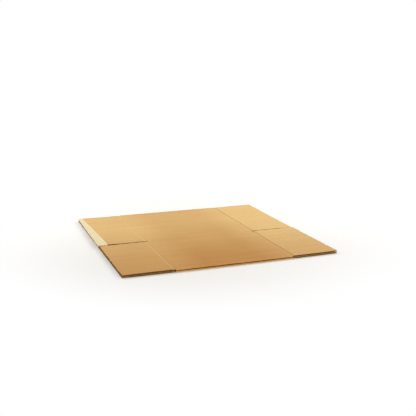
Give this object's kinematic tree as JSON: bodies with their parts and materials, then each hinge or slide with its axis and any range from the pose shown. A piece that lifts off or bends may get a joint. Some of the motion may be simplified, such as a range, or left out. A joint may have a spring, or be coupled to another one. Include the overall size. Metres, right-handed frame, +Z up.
{
  "type": "flattened cardboard box",
  "caption": "Corrugated slotted carton folded flat: two layers of board, body folds front and back, open flutes at the flap ends, upper flaps hinged at their creases.",
  "frame": {"origin": "centre of the footprint, on the surface that the flattened carton lies on", "axes": "+Z up through the two layers of board, +X along the flutes to the right flap ends, +Y from the front fold to the back fold"},
  "size_m": [0.746, 0.745, 0.0106],
  "materials": {
    "kraft_board": "matt kraft liner",
    "sealing_tape": "semi-matt pale film"
  },
  "bodies": {
    "panels": {"carton_panels": "kraft_board"},
    "front_left_flap": {"flap_front_left": "kraft_board"},
    "back_left_flap": {"flap_back_left": "kraft_board", "tape_strip": "sealing_tape"},
    "front_right_flap": {"flap_front_right": "kraft_board"},
    "back_right_flap": {"flap_back_right": "kraft_board"}
  },
  "joints": [
    {"name": "front_left_crease", "type": "hinge", "parent": "panels", "child": "front_left_flap", "pos_m": [-0.207, -0.2045, 0.0105], "axis": [0, 1, 0], "range_deg": [0, 175]},
    {"name": "back_left_crease", "type": "hinge", "parent": "panels", "child": "back_left_flap", "pos_m": [-0.207, 0.168, 0.0105], "axis": [0, 1, 0], "range_deg": [0, 175]},
    {"name": "front_right_crease", "type": "hinge", "parent": "panels", "child": "front_right_flap", "pos_m": [0.207, -0.2045, 0.0105], "axis": [0, -1, 0], "range_deg": [0, 175]},
    {"name": "back_right_crease", "type": "hinge", "parent": "panels", "child": "back_right_flap", "pos_m": [0.207, 0.168, 0.0105], "axis": [0, -1, 0], "range_deg": [0, 175]}
  ]
}
